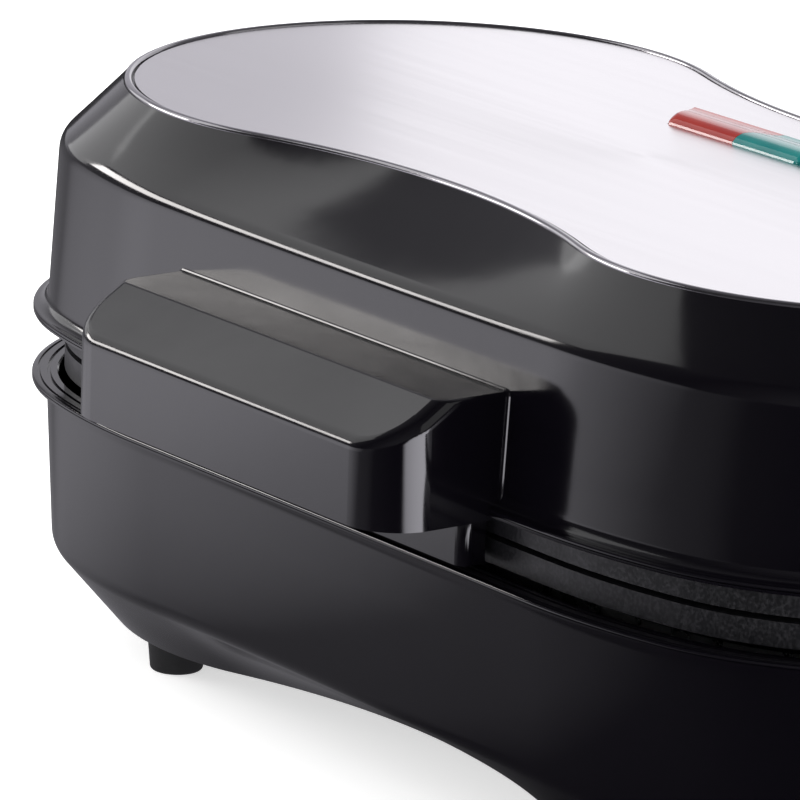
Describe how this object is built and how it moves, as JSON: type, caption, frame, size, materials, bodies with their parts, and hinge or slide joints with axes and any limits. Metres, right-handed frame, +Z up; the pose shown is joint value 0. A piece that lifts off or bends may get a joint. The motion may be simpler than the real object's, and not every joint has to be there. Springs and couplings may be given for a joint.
{
  "type": "donut maker",
  "caption": "Clamshell baker for small rings: hinged lid over a base, moulded baking plates, block handle, latch bar and indicator bar on a two-lobed metal panel.",
  "frame": {"origin": "on the surface the feet stand on, under the middle of the overall box", "axes": "+X to the right seen from the handle side, +Y towards the rear hinge, +Z up"},
  "size_m": [0.2814, 0.1875, 0.1163],
  "materials": {
    "black_plastic": "high-gloss moulded phenolic-look plastic",
    "black_matte": "fine-textured moulded plastic",
    "white_moulding": "plain heat-resistant moulding",
    "ceramic_white": "unglazed steatite beads",
    "zinc_steel": "zinc-plated steel",
    "black_rubber": "soft moulded rubber",
    "nonstick_plate": "dark non-stick coating on cast aluminium, faintly mottled",
    "element_sheath": "heat-tinted steel sheath",
    "bright_sheet": "bright rolled sheet",
    "brass_can": "plain brass can",
    "lead_sleeve": "braided glass-fibre sleeving",
    "brushed_panel": "fine brushing along the long side",
    "red_lens": "clear tinted lens",
    "green_lens": "clear tinted lens",
    "lamp_glass": "clear glass bulb"
  },
  "bodies": {
    "base": {"lower_shell": "black_plastic", "base_cover": "black_matte", "base_cover_screws": "zinc_steel", "rubber_feet": "black_rubber", "lower_baking_plate": "nonstick_plate", "lower_heating_element": "element_sheath", "lower_element_terminals": "ceramic_white", "lower_reflector": "bright_sheet", "lower_plate_screws": "zinc_steel", "thermostat": "bright_sheet", "terminal_block": "white_moulding", "terminal_screws": "zinc_steel", "base_leads": "lead_sleeve", "cord_gland": "black_rubber", "base_hinge_arms": "black_plastic", "hinge_pins": "zinc_steel", "hinge_pin_clips": "zinc_steel"},
    "lid": {"upper_shell": "black_plastic", "lid_hinge_arms": "black_plastic", "top_panel": "brushed_panel", "power_lens": "red_lens", "ready_lens": "green_lens", "lamp_holder": "white_moulding", "power_lamp": "lamp_glass", "ready_lamp": "lamp_glass", "upper_baking_plate": "nonstick_plate", "upper_heating_element": "element_sheath", "upper_element_terminals": "ceramic_white", "upper_reflector": "bright_sheet", "upper_plate_screws": "zinc_steel", "thermal_fuse": "brass_can", "fuse_strap": "zinc_steel", "fuse_strap_screw": "zinc_steel", "lid_leads": "lead_sleeve", "handle": "black_plastic", "handle_screws": "zinc_steel", "latch_pin": "zinc_steel"},
    "latch_bar": {"latch": "black_plastic"}
  },
  "joints": [
    {"name": "lid_hinge", "type": "hinge", "parent": "base", "child": "lid", "pos_m": [0, 0.08675, 0.0609], "axis": [-1, 0, 0], "range_deg": [0, 95]},
    {"name": "latch_pivot", "type": "hinge", "parent": "lid", "child": "latch_bar", "pos_m": [0, -0.07375, 0.077], "axis": [-1, 0, 0], "range_deg": [0, 4.5]}
  ]
}
